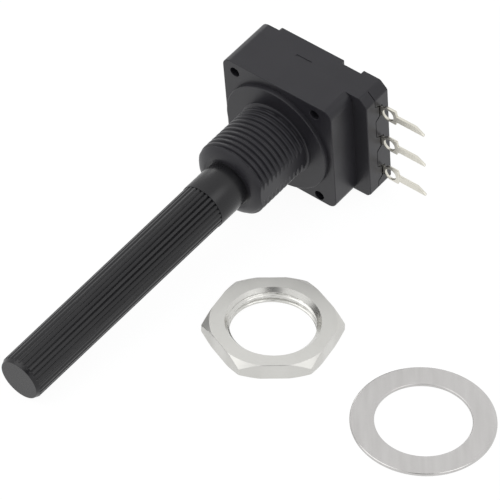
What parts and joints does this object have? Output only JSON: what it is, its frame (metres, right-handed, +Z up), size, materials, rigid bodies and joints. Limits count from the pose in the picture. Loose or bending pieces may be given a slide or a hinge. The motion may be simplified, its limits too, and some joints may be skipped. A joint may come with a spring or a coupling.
{
  "type": "rotary encoder",
  "caption": "Panel-mount rotary encoder with a fluted shaft, threaded bushing, square body and side solder lugs, with its loose hex nut and flat washer.",
  "frame": {"origin": "on the table under the middle of the whole set", "axes": "+Z up from the table, the shaft lying towards -Y and tipped down to the table, the solder lugs towards +X"},
  "size_m": [0.0526, 0.054, 0.0167],
  "materials": {
    "black_plastic": "fine moulded satin",
    "shaft_plastic": "smooth satin, polished crests",
    "natural_plastic": "unpigmented moulded plastic",
    "brown_laminate": "punched paper laminate",
    "contact_bronze": "rolled spring bronze",
    "spring_steel": "rolled",
    "tinned_brass": "tin plated",
    "plated_nut": "nickel plated",
    "plated_washer": "nickel plated, fine rolling lines"
  },
  "bodies": {
    "case": {"housing": "black_plastic", "rear_cover": "black_plastic", "contact_base": "brown_laminate", "detent_spring": "spring_steel", "brush_a": "contact_bronze", "brush_common": "contact_bronze", "brush_b": "contact_bronze", "rivet_a": "tinned_brass", "rivet_common": "tinned_brass", "rivet_b": "tinned_brass", "terminal_a": "tinned_brass", "terminal_common": "tinned_brass", "terminal_b": "tinned_brass"},
    "spindle": {"shaft": "shaft_plastic", "thrust_washer": "natural_plastic", "detent_wheel": "natural_plastic", "code_carrier": "natural_plastic", "code_disc": "contact_bronze"},
    "nut": {"mounting_nut": "plated_nut"},
    "washer": {"flat_washer": "plated_washer"}
  },
  "joints": [
    {"name": "shaft_turn", "type": "hinge", "parent": "case", "child": "spindle", "pos_m": [-0.01846, 0.01845, 0.00766], "axis": [0, -0.9941, -0.108], "continuous": true},
    {"name": "nut_lift", "type": "slide", "parent": "case", "child": "nut", "axis": [0, 0, 1], "range_m": [0, 0.03]},
    {"name": "washer_lift", "type": "slide", "parent": "case", "child": "washer", "axis": [0, 0, 1], "range_m": [0, 0.03]}
  ]
}
